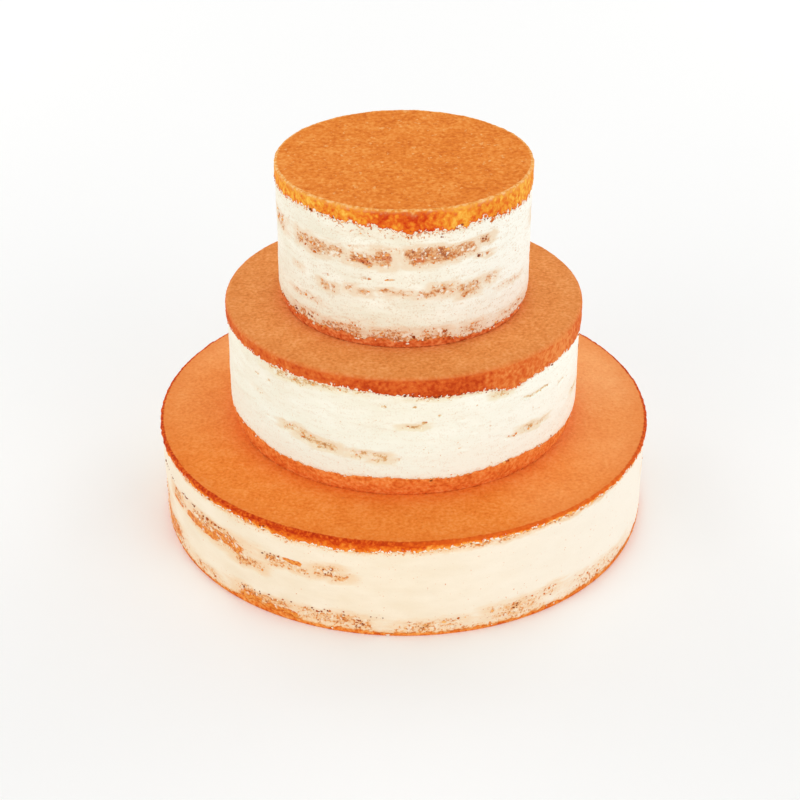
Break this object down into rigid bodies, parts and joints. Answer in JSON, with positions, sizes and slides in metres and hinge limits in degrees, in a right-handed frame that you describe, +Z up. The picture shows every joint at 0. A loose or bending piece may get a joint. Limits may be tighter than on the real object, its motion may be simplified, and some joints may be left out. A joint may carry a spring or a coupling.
{
  "type": "layer cake",
  "caption": "Tall round tiered sponge cake filled with cream, its sides scraped thinly with cream so that the crumb shows through and the sponge edges stay bare.",
  "frame": {"origin": "centre of the cake's flat base, where it meets the surface it stands on", "axes": "+Z up along the tiers' common axis, -Y towards the front that the picture shows, +X to the front view's right"},
  "size_m": [0.2802, 0.2801, 0.2145],
  "materials": {
    "cream": "soft, scraped cream",
    "crumb": "matte cut sponge crumb",
    "top_crust": "matte baked sponge",
    "middle_crust": "matte baked sponge",
    "bottom_crust": "matte baked sponge with a darker rim"
  },
  "bodies": {
    "root": {"bottom_sponge_1": "bottom_crust", "bottom_sponge_2": "crumb", "bottom_sponge_3": "bottom_crust", "bottom_cream_1": "cream", "bottom_cream_2": "cream", "bottom_coat": "cream", "middle_sponge_1": "middle_crust", "middle_sponge_2": "crumb", "middle_sponge_3": "crumb", "middle_sponge_4": "middle_crust", "middle_cream_1": "cream", "middle_cream_2": "cream", "middle_cream_3": "cream", "middle_coat": "cream", "top_sponge_1": "top_crust", "top_sponge_2": "crumb", "top_sponge_3": "crumb", "top_sponge_4": "top_crust", "top_cream_1": "cream", "top_cream_2": "cream", "top_cream_3": "cream", "top_coat": "cream"}
  },
  "joints": []
}
